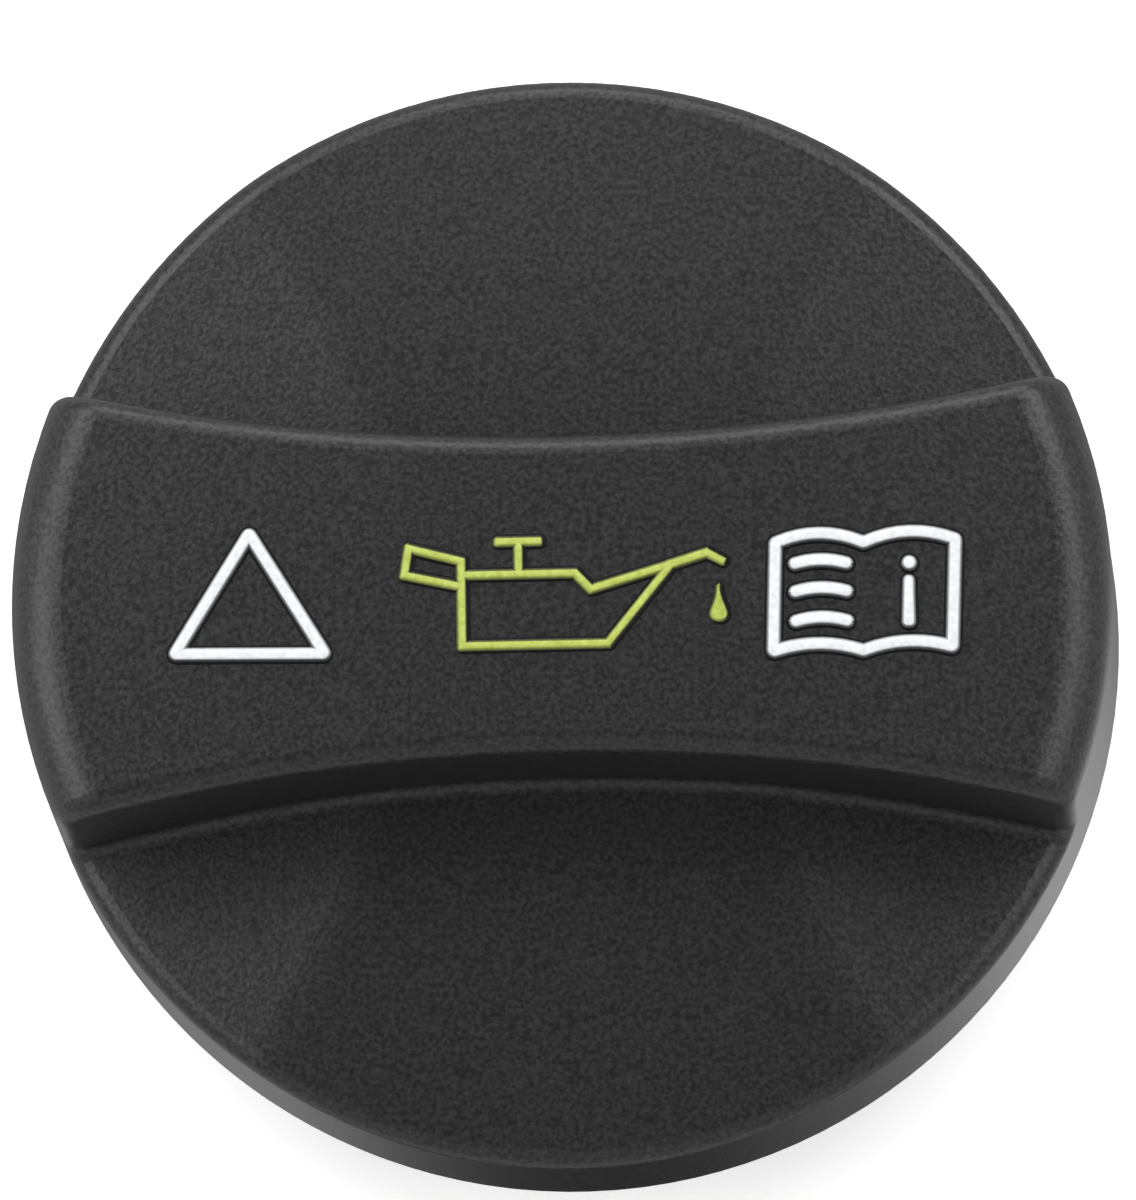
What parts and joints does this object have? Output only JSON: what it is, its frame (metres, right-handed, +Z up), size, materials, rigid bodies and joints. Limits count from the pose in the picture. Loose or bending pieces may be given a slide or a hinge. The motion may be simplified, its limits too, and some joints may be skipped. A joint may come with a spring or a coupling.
{
  "type": "oil filler cap",
  "caption": "Round engine oil filler cap with a waisted full-width grip bar, drafted skirt, bayonet plug and flat rubber seal; closes a filler neck by a part turn.",
  "frame": {"origin": "on the cap's axis, at the centre of the seal's lower face, which seats on the filler neck", "axes": "+Z up the cap's axis, out of the neck; +X along the grip bar; +Y across the bar, to the back"},
  "size_m": [0.0686, 0.0686, 0.0337],
  "materials": {
    "cover_plastic": "spark-eroded matt black",
    "plug_plastic": "smooth moulded black",
    "seal_rubber": "matt black rubber"
  },
  "bodies": {
    "root": {"grip_cover": "cover_plastic", "bayonet_plug": "plug_plastic", "seal_ring": "seal_rubber"}
  },
  "joints": []
}
